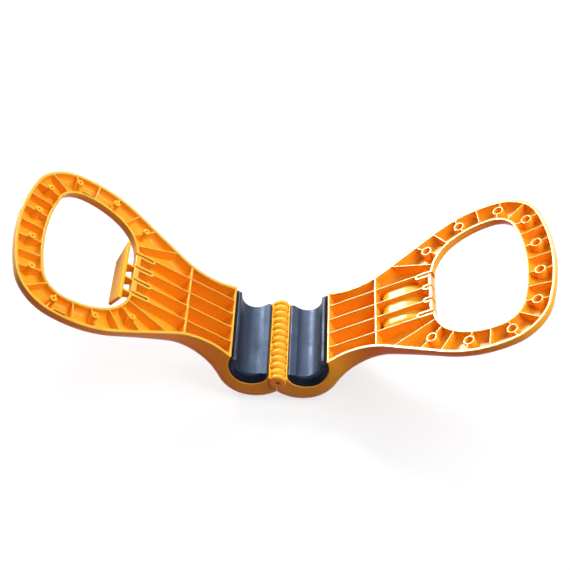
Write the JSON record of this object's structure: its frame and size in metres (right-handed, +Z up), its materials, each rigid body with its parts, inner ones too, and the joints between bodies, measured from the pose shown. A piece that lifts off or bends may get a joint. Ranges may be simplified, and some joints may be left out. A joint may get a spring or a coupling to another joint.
{
  "type": "clamp-on carrying handle",
  "caption": "Fold-open clamshell carrying handle: ribbed halves on a long hinge close round a bar in rubber-lined channels, with a swing latch in a grip hole.",
  "frame": {"origin": "centre of the footprint, on the ground, straight below the hinge axis", "axes": "+X from the half with the latch to the half with the sockets, +Y along the hinge, +Z up"},
  "size_m": [0.454, 0.1746, 0.1548],
  "materials": {
    "shell": "satin gloss",
    "liner": "smooth",
    "pin": "brushed"
  },
  "bodies": {
    "left": {"left_half": "shell", "left_liner": "liner", "hinge_pin": "pin", "latch_pin": "pin"},
    "right": {"right_half": "shell", "right_liner": "liner"},
    "latch": {"latch": "shell"}
  },
  "joints": [
    {"name": "fold_hinge", "type": "hinge", "parent": "left", "child": "right", "pos_m": [0, 0, 0.02336], "axis": [0, -1, 0], "range_deg": [0, 119.2]},
    {"name": "latch_pivot", "type": "hinge", "parent": "left", "child": "latch", "pos_m": [-0.12952, 0, 0.09447], "axis": [0, 1, 0], "range_deg": [0, 40]}
  ]
}
